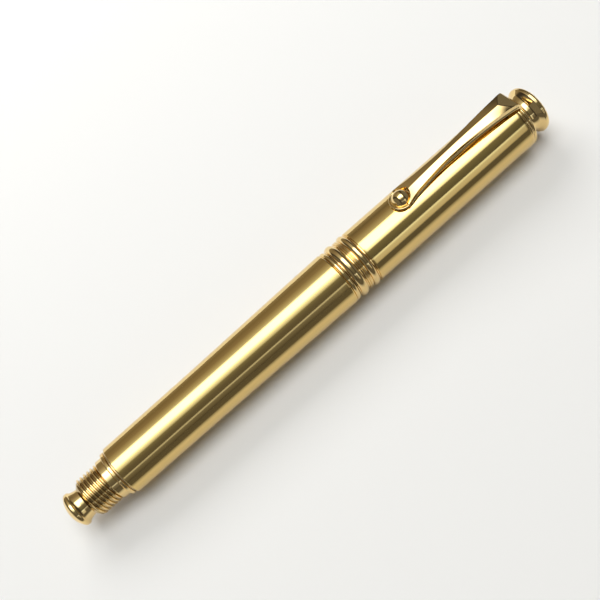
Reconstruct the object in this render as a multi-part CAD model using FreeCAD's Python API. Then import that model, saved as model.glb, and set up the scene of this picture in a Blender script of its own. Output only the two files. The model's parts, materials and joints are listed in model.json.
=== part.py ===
import FreeCAD, Part
import math
import os

# A closed metal fountain pen lying along X: turned end knob toward -X, finial and clip end toward +X,
# clip straight up. All lengths are mm. Stations are measured from the tip of the end knob.
LENGTH = 137.0
AXIS_Z = 6.88
X0 = -LENGTH / 2.0

# barrel
BARREL_START = 13.8
BARREL_END = 76.25
BARREL_R_TAIL = 5.97
BARREL_R_FRONT = 6.70
TUBE_R_OUT = 5.20
TUBE_R_IN = 4.90

# tail fitting
THREAD_START = 4.5
THREAD_END = 10.67
POST_ROOT_R = 4.30
POST_CREST_R = 4.72
THREAD_LEAD = 2.70
THREAD_STARTS = 3

# writing unit
SECTION_START = 77.45
COLLAR_END = 83.0
GRIP_END = 97.4
NIB_TIP = 118.0
CAP_THREAD_ROOT_R = 4.36
CAP_THREAD_CREST_R = 4.72
SCREW_PITCH = 0.80

# cap
CAP_MOUTH = 77.45
CAP_START = 83.35
CAP_END = 129.72
CAP_R = 6.70
CAP_BORE_R = 6.00
FINIAL_START = 131.30

# clip
CLIP_TOP = 130.05
CLIP_END = 131.05
CLIP_SHEET = 0.45
BALL_T = 97.1
BALL_AXIS_DISTANCE = 7.2
BALL_R = 2.15


def point(t, r, y=0.0):
    """A point at station t, at height r above the pen's axis and y to its side."""
    return FreeCAD.Vector(t + X0, y, AXIS_Z + r)


def outline(points, make):
    """A closed wire; a row of two numbers is a straight step, one of four is an arc by its middle."""
    edges = []
    last = points[0][:2]
    for row in points[1:] + [points[0][:2]]:
        end = row[-2:]
        if len(row) == 4:
            edges.append(Part.Arc(make(*last), make(*row[:2]), make(*end)).toShape())
        elif math.dist(last, end) > 1e-6:
            edges.append(Part.makeLine(make(*last), make(*end)))
        last = end
    return Part.Wire(edges)


def lathe(points):
    """Turns a closed (station, radius) profile about the pen's axis."""
    face = Part.Face(outline(points, point))
    return face.revolve(point(0, 0), FreeCAD.Vector(1, 0, 0), 360)


def tube(t0, t1, r_out, r_in):
    """A plain ring or tube."""
    return lathe([(t0, r_in), (t1, r_in), (t1, r_out), (t0, r_out)])


def rod(t0, t1, r):
    """A plain solid cylinder on the pen's axis."""
    return Part.makeCylinder(r, t1 - t0, point(t0, 0), FreeCAD.Vector(1, 0, 0))


def bead(t0, t1, r_crest, r_side, r_in):
    """A turned ring with a rounded outside."""
    return lathe([(t0, r_in), (t1, r_in), (t1, r_side), ((t0 + t1) / 2, r_crest, t0, r_side)])


def box(t0, t1, y0, y1, z0, z1):
    """A block given by stations, side and height above the axis."""
    return Part.makeBox(t1 - t0, y1 - y0, z1 - z0, point(t0, z0, y0))


def one_solid(shape):
    """The largest solid of a boolean's result."""
    return max(shape.Solids, key=lambda s: s.Volume)


def helical_ridge(root, crest, t0, t1, lead, half_base, half_crest):
    """One swept thread ridge, sunk a little into its root, running past both ends."""
    sink = 0.15 if crest < root else -0.15
    helix = Part.makeHelix(lead, t1 - t0 + 2 * lead, max(root, crest))
    corners = [
        FreeCAD.Vector(root + sink, 0, -half_base),
        FreeCAD.Vector(crest, 0, -half_crest),
        FreeCAD.Vector(crest, 0, half_crest),
        FreeCAD.Vector(root + sink, 0, half_base),
    ]
    section = Part.Wire(Part.makePolygon(corners + corners[:1]))
    ridge = Part.Wire(helix).makePipeShell([section], True, True)
    ridge.rotate(FreeCAD.Vector(0, 0, 0), FreeCAD.Vector(0, 1, 0), 90)
    ridge.translate(point(t0 - lead, 0))
    return ridge


def threaded(core, envelope, root, crest, t0, t1, lead, starts, widths):
    """Adds helical ridges to a core, kept inside an envelope."""
    ridge = helical_ridge(root, crest, t0, t1, lead, *widths)
    for k in range(starts):
        turned = ridge.copy()
        turned.rotate(point(0, 0), FreeCAD.Vector(1, 0, 0), 360.0 * k / starts)
        core = core.fuse(turned.common(envelope))
    return one_solid(core)


def rings(t0, t1, root, crest, pitch):
    """Profile points for a run of fine rounded-off grooves, from t0 to t1."""
    points = []
    for k in range(int(round((t1 - t0) / pitch))):
        t = t0 + k * pitch
        points += [(t, root), (t + 0.3 * pitch, crest), (t + 0.5 * pitch, crest)]
        points += [(t + 0.8 * pitch, root)]
    return points


def tail_parts():
    """The end knob, the posting thread and the stepped flange that plugs the barrel's tail."""
    knob = lathe([
        (0, 0),
        (0, 0.6),
        (0.27, 2.45, 1.05, 3.78),
        (1.35, 4.05, 1.75, 4.12),
        (2.15, 4.02, 2.35, 3.80),
        (3.3, 3.45, 4.45, 3.32),
        (4.45, 0),
    ])
    stud = rod(4.5, 14.0, 1.5)
    core = lathe([
        (THREAD_START, 0),
        (THREAD_START, 3.6),
        (4.9, POST_ROOT_R),
        (THREAD_END, POST_ROOT_R),
        (THREAD_END, 0),
    ])
    limit = POST_CREST_R + 0.05
    envelope = lathe([
        (THREAD_START, 0),
        (THREAD_START, 3.75),
        (5.6, limit),
        (THREAD_END, limit),
        (THREAD_END, 0),
    ])
    thread = threaded(core, envelope, POST_ROOT_R, POST_CREST_R, 4.6, 10.6, THREAD_LEAD,
                      THREAD_STARTS, (0.33, 0.10))
    thread = one_solid(thread.cut(rod(THREAD_START, THREAD_END + 0.05, 1.5)))
    flange = lathe([
        (10.72, 1.5),
        (10.72, 4.82),
        (10.86, 4.96),
        (12.38, 4.96),
        (12.46, 4.88),
        (12.46, 4.70),
        (12.56, 4.70),
        (12.56, 5.45),
        (12.66, 5.55),
        (13.22, 5.55),
        (13.32, 5.45),
        (13.32, TUBE_R_IN),
        (18.0, TUBE_R_IN),
        (18.0, 4.30),
        (15.4, 4.30),
        (15.4, 1.5),
    ])
    return {"tail_knob": knob, "tail_stud": stud, "posting_thread": thread, "tail_flange": flange}


def barrel_parts():
    """The tapered sleeve, its inner tube, the front coupler and the trim ring at the joint."""
    sleeve = lathe([
        (BARREL_START, TUBE_R_OUT),
        (BARREL_START, BARREL_R_TAIL - 0.2),
        (BARREL_START + 0.06, BARREL_R_TAIL - 0.06, BARREL_START + 0.2, BARREL_R_TAIL),
        (39.98, 6.17),
        (66.1, 6.58),
        (BARREL_END - 0.5, BARREL_R_FRONT),
        (BARREL_END - 0.12, BARREL_R_FRONT - 0.14, BARREL_END, BARREL_R_FRONT - 0.5),
        (BARREL_END, TUBE_R_OUT),
    ])
    inner = tube(13.4, BARREL_END, TUBE_R_OUT, TUBE_R_IN)
    bore = rings(68.6, 76.6, 4.52, 4.30, SCREW_PITCH)
    coupler = lathe([(68.0, 4.52)] + bore + [(77.3, 4.52), (77.3, TUBE_R_IN), (68.0, TUBE_R_IN)])
    ring = bead(BARREL_END, 77.3, 6.62, 6.35, TUBE_R_IN)
    return {
        "barrel_sleeve": sleeve,
        "barrel_tube": inner,
        "barrel_coupler": coupler,
        "barrel_front_ring": ring,
    }


def section_parts():
    """The threaded collar, the grip, its end ring and the housing with the ink nipple."""
    core = tube(SECTION_START, COLLAR_END, CAP_THREAD_ROOT_R, 3.60)
    envelope = tube(SECTION_START, COLLAR_END, CAP_THREAD_CREST_R + 0.05, 3.60)
    collar = threaded(core, envelope, CAP_THREAD_ROOT_R, CAP_THREAD_CREST_R, 78.2, 82.4,
                      THREAD_LEAD, THREAD_STARTS, (0.30, 0.10))
    male = rings(70.0, 76.4, 3.92, 4.15, SCREW_PITCH)
    tail = lathe([(69.5, 3.60), (69.5, 3.92)] + male + [(SECTION_START, 3.92), (SECTION_START, 3.60)])
    grip = lathe([
        (COLLAR_END, 3.60),
        (COLLAR_END, 4.60),
        (COLLAR_END + 0.8, 4.60),
        (90.5, 4.20, 94.6, 4.10),
        (96.3, 4.18, GRIP_END, 4.42),
        (GRIP_END, 3.60),
    ])
    ring = bead(GRIP_END, 98.5, 4.48, 4.22, 3.60)
    housing = lathe([
        (75.4, 0.8),
        (75.4, 1.5),
        (75.6, 1.65),
        (80.6, 1.65),
        (80.6, 3.52),
        (98.45, 3.52),
        (98.45, 3.25),
        (84.0, 3.25),
        (84.0, 0.8),
    ])
    return {
        "section_collar": collar,
        "section_tail_thread": tail,
        "section_grip": grip,
        "section_ring": ring,
        "nib_housing": housing,
    }


def nib_profile_radius(t):
    """Outside radius of the nib's sheet at a station."""
    if t <= 101.0:
        return 3.18
    return 3.18 - 2.08 * ((t - 101.0) / (NIB_TIP - 101.0)) ** 1.25


def nib_parts():
    """The curved sheet nib with slit, vent hole and ball tip, on its finned feed."""
    sheet = 0.25
    stations = [84.2, 101.0] + [101.0 + 1.6 * k for k in range(1, 11)] + [117.9]
    outer = [(t, nib_profile_radius(t)) for t in stations]
    inner = [(t, nib_profile_radius(t) - sheet) for t in reversed(stations)]
    shell = lathe(outer + inner)
    plan = [(84.2, 2.6), (98.4, 2.75), (101.5, 3.05), (104.5, 2.9), (107.0, 2.2), (111.0, 1.35),
            (115.0, 0.72), (117.9, 0.34)]
    ring = plan + [(t, -y) for t, y in reversed(plan)]
    corners = [point(t, 0.35, y) for t, y in ring]
    slab = Part.Face(Part.Wire(Part.makePolygon(corners + corners[:1])))
    nib = shell.common(slab.extrude(FreeCAD.Vector(0, 0, 4.0)))
    tip = Part.makeSphere(0.38, point(NIB_TIP - 0.3, 0.98))
    nib = nib.fuse(tip)
    vent = Part.makeCylinder(0.5, 4.0, point(106.0, 0.5), FreeCAD.Vector(0, 0, 1))
    nib = nib.cut(vent).cut(box(106.0, 119.0, -0.05, 0.05, 0.0, 4.0))
    feed_r = [(84.2, 2.88), (101.0, 2.88)]
    feed_r += [(t, nib_profile_radius(t) - sheet - 0.05) for t in stations[2:10]]
    feed = lathe([(84.2, 0.45)] + feed_r + [(feed_r[-1][0], 0.45)])
    for k in range(9):
        t = 99.6 + 1.0 * k
        fin_gap = tube(t, t + 0.45, 4.0, nib_profile_radius(t) - 0.95)
        feed = feed.cut(fin_gap.common(box(t - 0.1, t + 0.6, -4, 4, -4, 0.0)))
    return {"nib": one_solid(nib), "feed": one_solid(feed)}


def converter_parts():
    """The push-on piston filler: clear tank, metal collar, turning knob, screw rod and seal."""
    tank = lathe([
        (46.0, 2.95),
        (46.0, 3.45),
        (76.0, 3.45),
        (77.2, 2.75),
        (79.9, 2.70),
        (79.9, 1.75),
        (75.1, 1.75),
        (75.1, 2.95),
    ])
    collar = lathe([
        (44.2, 1.50),
        (44.2, 3.82),
        (52.0, 3.82),
        (52.0, 3.45),
        (46.0, 3.45),
        (46.0, 1.50),
    ])
    knob = lathe([
        (21.0, 0),
        (21.0, 3.2),
        (21.4, 3.55),
        (43.6, 3.55),
        (44.0, 3.2),
        (44.0, 1.60),
        (22.2, 1.60),
        (22.2, 0),
    ])
    for k in range(16):
        flute = Part.makeCylinder(0.34, 16.0, point(24.0, 3.62), FreeCAD.Vector(1, 0, 0))
        flute.rotate(point(0, 0), FreeCAD.Vector(1, 0, 0), 22.5 * k)
        knob = knob.cut(flute)
    screw = rod(22.6, 54.0, 1.2)
    seal = lathe([
        (54.0, 0),
        (54.0, 2.6),
        (54.3, 2.85),
        (55.3, 2.85),
        (55.6, 2.7),
        (56.6, 2.7),
        (56.9, 2.85),
        (57.9, 2.85),
        (58.2, 2.6),
        (58.2, 0),
    ])
    return {
        "converter_tank": tank,
        "converter_collar": collar,
        "converter_knob": one_solid(knob),
        "piston_rod": screw,
        "piston_seal": seal,
    }


def cap_parts():
    """The cap's sleeve and tube, the two-torus centre band, top rings, plug, liner and finial."""
    band = lathe([
        (CAP_MOUTH, 5.90),
        (CAP_MOUTH, 6.22),
        (77.66, 6.22),
        (77.76, 6.42),
        (78.75, 6.88, 79.74, 6.42),
        (79.84, 6.20),
        (80.08, 6.20),
        (80.14, 6.42),
        (80.32, 6.56, 80.50, 6.42),
        (80.56, 6.36),
        (80.62, 6.42),
        (80.80, 6.56, 80.98, 6.42),
        (81.04, 6.20),
        (81.26, 6.20),
        (81.34, 6.42),
        (82.20, 6.88, 82.96, 6.46),
        (83.04, 6.30),
        (CAP_START, 6.30),
        (CAP_START, 5.90),
    ])
    core = lathe([
        (77.6, 5.20),
        (77.6, 5.90),
        (83.35, 5.90),
        (83.35, 5.62),
        (87.5, 5.62),
        (87.5, 4.95),
        (83.0, 4.95),
        (83.0, 5.20),
    ])
    envelope = tube(77.6, 83.0, 5.90, 4.84)
    coupler = threaded(core, envelope, 5.20, 4.87, 78.2, 82.4, THREAD_LEAD, THREAD_STARTS,
                       (0.30, 0.10))
    sleeve = lathe([
        (CAP_START, CAP_BORE_R),
        (CAP_START, CAP_R - 0.12),
        (CAP_START + 0.12, CAP_R),
        (CAP_END - 0.12, CAP_R),
        (CAP_END, CAP_R - 0.12),
        (CAP_END, CAP_BORE_R),
    ])
    plug = lathe([
        (124.6, 1.55),
        (124.6, 5.62),
        (129.72, 5.62),
        (129.72, 1.55),
    ])
    finial = lathe([
        (FINIAL_START, 1.55),
        (FINIAL_START, 5.35),
        (131.42, 5.47, 131.60, 5.35),
        (131.80, 4.85, 132.25, 4.58),
        (133.15, 4.68, 133.95, 5.22),
        (134.35, 5.58, 134.62, 5.80),
        (134.82, 5.90, 135.05, 5.90),
        (135.55, 5.82, 135.95, 5.30),
        (136.60, 3.70, 136.94, 1.60),
        (LENGTH, 0.80),
        (LENGTH, 0),
        (133.6, 0),
        (133.6, 1.55),
    ])
    return {
        "centre_band": band,
        "cap_coupler": coupler,
        "cap_sleeve": sleeve,
        "cap_tube": tube(83.45, 129.62, 5.95, 5.70),
        "cap_plug": plug,
        "cap_ring": bead(CAP_END, 130.42, 6.62, 6.40, 1.55),
        "finial_stud": rod(125.5, 133.6, 1.55),
        "finial": finial,
        "cap_liner": lathe([
            (91.5, 5.05),
            (91.5, 5.55),
            (124.4, 5.55),
            (124.4, 0),
            (123.4, 0),
            (123.4, 5.05),
        ]),
    }


# station, width, width of the flat along the ridge, ridge, shoulder and lower edge (from the pen's axis)
CLIP_STATIONS = [
    (97.2, 5.50, 0.10, 8.15, 7.75, 6.82),
    (98.2, 5.10, 0.10, 8.35, 8.00, 6.82),
    (100.1, 4.25, 0.10, 8.66, 8.32, 6.85),
    (102.3, 3.70, 0.10, 8.86, 8.50, 7.05),
    (104.5, 3.30, 0.10, 9.05, 8.68, 7.26),
    (107.3, 2.90, 0.10, 9.28, 8.90, 7.52),
    (110.1, 2.68, 0.10, 9.48, 9.08, 7.76),
    (114.0, 2.84, 0.10, 9.70, 9.30, 7.94),
    (118.0, 3.28, 0.10, 9.84, 9.45, 8.04),
    (121.0, 3.70, 0.10, 9.88, 9.48, 8.04),
    (124.2, 4.22, 0.12, 9.84, 9.44, 7.96),
    (126.5, 4.74, 1.90, 9.46, 9.20, 7.82),
    (128.4, 5.36, 3.70, 9.02, 8.92, 7.60),
    (CLIP_TOP, 6.10, 5.60, 8.56, 8.52, 7.25),
    (CLIP_END, 5.90, 5.40, 7.34, 7.30, 6.72),
]


def clip_section(row, inset, drop):
    """One cross-section of the clip, or of the channel under it."""
    t, width, flat, ridge, shoulder, low = row
    y = width / 2 - inset
    f = max(flat / 2 - inset, 0.04)
    corners = [
        point(t, low - drop, -y),
        point(t, shoulder - inset, -y),
        point(t, ridge - inset, -f),
        point(t, ridge - inset, f),
        point(t, shoulder - inset, y),
        point(t, low - drop, y),
    ]
    return Part.Wire(Part.makePolygon(corners + corners[:1]))


def clip_parts():
    """The folded clip with its half-round foot, the domed end and the ring that holds it."""
    arm = Part.makeLoft([clip_section(r, 0.0, 0.0) for r in CLIP_STATIONS], True, True)
    channel_rows = [r for r in CLIP_STATIONS if 100.0 < r[0] < 129.0]
    last = (CLIP_TOP - 0.6,) + tuple(
        0.35 * a + 0.65 * b for a, b in zip(CLIP_STATIONS[-3][1:], CLIP_STATIONS[-2][1:])
    )
    channel = Part.makeLoft([clip_section(r, CLIP_SHEET, 2.0) for r in channel_rows + [last]],
                            True, True)
    up = FreeCAD.Vector(0, 0, 1)
    arm = arm.cut(channel)
    arm = arm.cut(Part.makeCylinder(2.48, 4.0, point(BALL_T, 7.35), up))
    arm = arm.fuse(Part.makeCylinder(2.75, 0.55, point(BALL_T, 6.82), up))
    arm = arm.cut(Part.makeCylinder(2.0, 1.0, point(BALL_T, 6.70), up))
    ball = Part.makeSphere(BALL_R, point(BALL_T, BALL_AXIS_DISTANCE))
    ball = ball.common(box(BALL_T - 3, BALL_T + 3, -3, 3, 7.37, 11))
    ball = ball.fuse(Part.makeCylinder(2.0, 0.55, point(BALL_T, 6.82), up))
    ring = bead(130.48, 131.18, 6.58, 6.40, 1.55)
    return {"clip": one_solid(arm), "clip_ball": one_solid(ball), "clip_ring": ring}


def main():
    os.makedirs("parts", exist_ok=True)
    parts = {}
    for build in (tail_parts, barrel_parts, section_parts, nib_parts, converter_parts, cap_parts,
                  clip_parts):
        parts.update(build())
    for name, shape in parts.items():
        shape.exportStep(os.path.join("parts", name + ".step"))


main()
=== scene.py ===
"""A closed metal fountain pen: gold sleeves, plated fittings, clip, writing unit and converter."""

import json
import logging
import math
from dataclasses import dataclass, field
from enum import Enum

import bmesh
import bpy
import numpy as np
from mathutils import Matrix, Vector


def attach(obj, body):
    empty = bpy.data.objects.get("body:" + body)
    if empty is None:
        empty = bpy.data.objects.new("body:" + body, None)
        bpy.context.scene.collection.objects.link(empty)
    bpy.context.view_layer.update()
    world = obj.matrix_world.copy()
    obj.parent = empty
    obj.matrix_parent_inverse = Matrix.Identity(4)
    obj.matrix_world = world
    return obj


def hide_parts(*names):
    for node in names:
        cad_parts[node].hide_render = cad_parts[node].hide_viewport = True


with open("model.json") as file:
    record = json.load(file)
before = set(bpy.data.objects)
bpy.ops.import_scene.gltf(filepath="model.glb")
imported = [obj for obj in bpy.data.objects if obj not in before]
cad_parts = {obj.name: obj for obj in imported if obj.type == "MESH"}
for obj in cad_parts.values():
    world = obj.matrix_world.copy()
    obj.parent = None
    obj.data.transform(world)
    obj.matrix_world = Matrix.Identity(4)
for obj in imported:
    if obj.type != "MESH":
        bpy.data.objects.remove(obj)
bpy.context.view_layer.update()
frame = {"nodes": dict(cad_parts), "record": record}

LOG = logging.getLogger("pen")

# metres in a millimetre; half the pen's length and the height of its axis above the floor, in mm
MM = 0.001
HALF_LENGTH = 68.5
AXIS_HEIGHT = 6.88

# radius of the small flat where a turned grid closes at the axis, in mm, and steps round a thread
POLE_RADIUS = 0.01
THREAD_SIDES = 224

Row = tuple[float, ...]


class Finish(Enum):
    """The record's material slots."""

    SLEEVE = "body_metal"
    PLATED = "plated"
    BRASS = "raw_brass"
    NIB = "nib_metal"
    GLOSS = "black_plastic"
    FEED = "feed_plastic"
    TANK = "clear_tank"
    WHITE = "seal_plastic"
    RUBBER = "seal_rubber"


# --------------------------------------------------------------------------------------------
# shader groups
# --------------------------------------------------------------------------------------------

SMEAR_POWER = 2.2
GRAIN_SHARE = 0.1
HAZE_GAIN = 1.6

# the posting thread's middle station and half its length, and the radii between which the painted shade in
# its grooves fades
THREAD_MIDDLE = 7.6
THREAD_REACH = 3.1
FULL_SHADE_RADIUS = 4.36
NO_SHADE_RADIUS = 4.62
# painted shade: a dark colour put between the ridges of the posting thread, where shadow falls
GROOVE_SHADE_COLOUR = (0.16, 0.10, 0.04, 1.0)


def socket_group(name: str, inputs: dict[str, float], outputs: dict[str, str]) -> bpy.types.NodeTree:
    """Starts a shader node group.

    Args:
        name: the group's name.
        inputs: number inputs and their defaults.
        outputs: output names and socket types.

    Returns:
        The group, with its input and output nodes in place.
    """
    tree = bpy.data.node_groups.new(name, "ShaderNodeTree")
    for label, value in inputs.items():
        made = tree.interface.new_socket(label, in_out="INPUT", socket_type="NodeSocketFloat")
        made.default_value = value
    for label, kind in outputs.items():
        tree.interface.new_socket(label, in_out="OUTPUT", socket_type=kind)
    tree.nodes.new("NodeGroupInput").name = "in"
    tree.nodes.new("NodeGroupOutput").name = "out"
    return tree


def add_node(tree: bpy.types.NodeTree, kind: str, **settings: object) -> bpy.types.Node:
    """Adds a node.

    Args:
        tree: the tree it goes into.
        kind: the node's type.
        settings: its properties, or its inputs where the key starts with in_.

    Returns:
        The new node.
    """
    made = tree.nodes.new(kind)
    for key, value in settings.items():
        if key.startswith("in_"):
            made.inputs[key[3:].replace("_", " ")].default_value = value
        else:
            setattr(made, key, value)
    return made


def object_point(tree: bpy.types.NodeTree, stretch: tuple[float, float, float]) -> bpy.types.NodeSocket:
    """Object coordinates, scaled by a different amount along each axis.

    Args:
        tree: the tree to add the nodes to.
        stretch: the scale along X, Y and Z.

    Returns:
        The scaled point.
    """
    coordinates = add_node(tree, "ShaderNodeTexCoord")
    mapping = add_node(tree, "ShaderNodeMapping")
    mapping.inputs["Scale"].default_value = stretch
    tree.links.new(coordinates.outputs["Object"], mapping.inputs["Vector"])
    return mapping.outputs["Vector"]


def handling_group() -> bpy.types.NodeTree:
    """Roughness that drifts a little over the surface, with faint smears where fingers rest.

    The roughness is Clean plus Haze times HAZE_GAIN times the sum of a broad noise to the power
    SMEAR_POWER and a little of a fine grain.

    Returns:
        The group.
    """
    tree = socket_group("Handling Haze", {"Clean": 0.1, "Haze": 0.08}, {"Roughness": "NodeSocketFloat"})
    broad = add_node(tree, "ShaderNodeTexNoise", in_Scale=1.0, in_Detail=4.0, in_Roughness=0.6)
    fine = add_node(tree, "ShaderNodeTexNoise", in_Scale=1.0, in_Detail=2.0)
    power = add_node(tree, "ShaderNodeMath", operation="POWER")
    power.inputs[1].default_value = SMEAR_POWER
    scaled = add_node(tree, "ShaderNodeMath", operation="MULTIPLY")
    grain = add_node(tree, "ShaderNodeMath", operation="MULTIPLY_ADD")
    grain.inputs[1].default_value = GRAIN_SHARE
    total = add_node(tree, "ShaderNodeMath", operation="MULTIPLY_ADD")
    link = tree.links.new
    link(object_point(tree, (60.0, 140.0, 140.0)), broad.inputs["Vector"])
    link(object_point(tree, (900.0, 2600.0, 2600.0)), fine.inputs["Vector"])
    link(broad.outputs["Fac"], power.inputs[0])
    link(fine.outputs["Fac"], grain.inputs[0])
    link(power.outputs[0], grain.inputs[2])
    link(grain.outputs[0], scaled.inputs[0])
    link(tree.nodes["in"].outputs["Haze"], scaled.inputs[1])
    link(scaled.outputs[0], total.inputs[0])
    total.inputs[1].default_value = HAZE_GAIN
    link(tree.nodes["in"].outputs["Clean"], total.inputs[2])
    link(total.outputs[0], tree.nodes["out"].inputs["Roughness"])
    return tree


def marks_group() -> bpy.types.NodeTree:
    """Height of fine tool marks: rings round the axis from turning, and lines along it from polishing.

    Ring height is a noise squeezed along X, line height a noise stretched along X; the output mixes
    the two by Along.

    Returns:
        The group.
    """
    tree = socket_group("Tool Marks", {"Along": 0.5}, {"Height": "NodeSocketFloat"})
    ring = add_node(tree, "ShaderNodeTexNoise", in_Scale=1.0, in_Detail=3.0, in_Roughness=0.65)
    line = add_node(tree, "ShaderNodeTexNoise", in_Scale=1.0, in_Detail=3.0, in_Roughness=0.65)
    mix = add_node(tree, "ShaderNodeMix", data_type="FLOAT")
    link = tree.links.new
    link(object_point(tree, (9000.0, 40.0, 40.0)), ring.inputs["Vector"])
    link(object_point(tree, (50.0, 5200.0, 5200.0)), line.inputs["Vector"])
    link(tree.nodes["in"].outputs["Along"], mix.inputs[0])
    link(ring.outputs["Fac"], mix.inputs[2])
    link(line.outputs["Fac"], mix.inputs[3])
    link(mix.outputs[0], tree.nodes["out"].inputs["Height"])
    return tree


def tint_group() -> bpy.types.NodeTree:
    """A slow mask, 0 to 1, for warmer and cooler patches: a broad noise times Amount.

    Returns:
        The group.
    """
    tree = socket_group("Slow Tint", {"Amount": 0.5}, {"Mask": "NodeSocketFloat"})
    noise = add_node(tree, "ShaderNodeTexNoise", in_Scale=1.0, in_Detail=3.0, in_Roughness=0.55)
    times = add_node(tree, "ShaderNodeMath", operation="MULTIPLY", use_clamp=True)
    link = tree.links.new
    link(object_point(tree, (45.0, 110.0, 110.0)), noise.inputs["Vector"])
    link(noise.outputs["Fac"], times.inputs[0])
    link(tree.nodes["in"].outputs["Amount"], times.inputs[1])
    link(times.outputs[0], tree.nodes["out"].inputs["Mask"])
    return tree


def painted_groove_shade_group() -> bpy.types.NodeTree:
    """A mask, 0 to 1, for painted shade between the ridges of the posting thread.

    With r the distance from the pen's axis, it falls smoothly from Amount at the root to 0 near the
    crest, and it is 0 outside the thread's two ends.

    Returns:
        The group.
    """
    tree = socket_group("Painted Groove Shade", {"Amount": 0.5}, {"Mask": "NodeSocketFloat"})
    place = object_point(tree, (1.0, 1.0, 1.0))
    parts = add_node(tree, "ShaderNodeSeparateXYZ")
    within = add_node(tree, "ShaderNodeMath", operation="COMPARE")
    within.inputs[1].default_value = (THREAD_MIDDLE - HALF_LENGTH) * MM
    within.inputs[2].default_value = THREAD_REACH * MM
    across = add_node(tree, "ShaderNodeVectorMath", operation="MULTIPLY_ADD")
    across.inputs[1].default_value = (0.0, 1.0, 1.0)
    across.inputs[2].default_value = (0.0, 0.0, -AXIS_HEIGHT * MM)
    away = add_node(tree, "ShaderNodeVectorMath", operation="LENGTH")
    fall = add_node(tree, "ShaderNodeMapRange", interpolation_type="SMOOTHSTEP",
                    in_From_Min=NO_SHADE_RADIUS * MM, in_From_Max=FULL_SHADE_RADIUS * MM)
    both = add_node(tree, "ShaderNodeMath", operation="MULTIPLY")
    amount = add_node(tree, "ShaderNodeMath", operation="MULTIPLY")
    link = tree.links.new
    link(place, parts.inputs[0])
    link(place, across.inputs[0])
    link(parts.outputs["X"], within.inputs[0])
    link(across.outputs["Vector"], away.inputs[0])
    link(away.outputs["Value"], fall.inputs["Value"])
    link(within.outputs[0], both.inputs[0])
    link(fall.outputs["Result"], both.inputs[1])
    link(both.outputs[0], amount.inputs[0])
    link(tree.nodes["in"].outputs["Amount"], amount.inputs[1])
    link(amount.outputs[0], tree.nodes["out"].inputs["Mask"])
    return tree


@dataclass(frozen=True)
class Recipe:
    """One finish, made of the shared groups and a Principled shader.

    Attributes:
        slot: the record's slot.
        colour: the main colour.
        second: the colour of the slow patches.
        metallic: 1 for metal.
        clean: roughness where nothing has touched it.
        haze: how much rougher the handled areas are.
        marks: bump distance of the tool marks, in mm.
        along: 0 for rings round the axis, 1 for lines along it.
        coat: weight of a clear coat.
        groove_shade_amount: how dark the painted shade in the posting thread's grooves is, 0 to 1.
        settings: other constant inputs of the shader.
    """

    slot: Finish
    colour: tuple[float, float, float]
    second: tuple[float, float, float]
    metallic: float = 1.0
    clean: float = 0.08
    haze: float = 0.06
    marks: float = 0.0006
    along: float = 0.5
    coat: float = 0.0
    groove_shade_amount: float = 0.0
    settings: dict[str, float] = field(default_factory=dict)

    def build(self, groups: dict[str, bpy.types.NodeTree]) -> bpy.types.Material:
        """Makes the material.

        Args:
            groups: the shared node groups by name.

        Returns:
            The finished material.
        """
        made = bpy.data.materials.new("pen_" + self.slot.value)
        made.use_nodes = True
        tree = made.node_tree
        shader = next(n for n in tree.nodes if n.type == "BSDF_PRINCIPLED")
        link = tree.links.new
        shader.inputs["Metallic"].default_value = self.metallic
        shader.inputs["Coat Weight"].default_value = self.coat
        for label, value in self.settings.items():
            shader.inputs[label].default_value = value
        tint = add_node(tree, "ShaderNodeGroup", node_tree=groups["tint"])
        tint.inputs["Amount"].default_value = 1.0
        mix = add_node(tree, "ShaderNodeMix", data_type="RGBA")
        mix.inputs[6].default_value = (*self.colour, 1.0)
        mix.inputs[7].default_value = (*self.second, 1.0)
        link(tint.outputs["Mask"], mix.inputs[0])
        # painted shade: darkens the base colour between the posting thread's ridges
        grooves = add_node(tree, "ShaderNodeGroup", node_tree=groups["grooves"])
        grooves.inputs["Amount"].default_value = self.groove_shade_amount
        shaded_colour = add_node(tree, "ShaderNodeMix", data_type="RGBA")
        shaded_colour.inputs[7].default_value = GROOVE_SHADE_COLOUR
        link(mix.outputs[2], shaded_colour.inputs[6])
        link(grooves.outputs["Mask"], shaded_colour.inputs[0])
        link(shaded_colour.outputs[2], shader.inputs["Base Color"])
        rough = add_node(tree, "ShaderNodeGroup", node_tree=groups["handling"])
        rough.inputs["Clean"].default_value = self.clean
        rough.inputs["Haze"].default_value = self.haze
        link(rough.outputs["Roughness"], shader.inputs["Roughness"])
        marks = add_node(tree, "ShaderNodeGroup", node_tree=groups["marks"])
        marks.inputs["Along"].default_value = self.along
        bump = add_node(tree, "ShaderNodeBump")
        bump.inputs["Strength"].default_value = 1.0
        bump.inputs["Distance"].default_value = self.marks * MM
        link(marks.outputs["Height"], bump.inputs["Height"])
        link(bump.outputs["Normal"], shader.inputs["Normal"])
        return made


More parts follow.
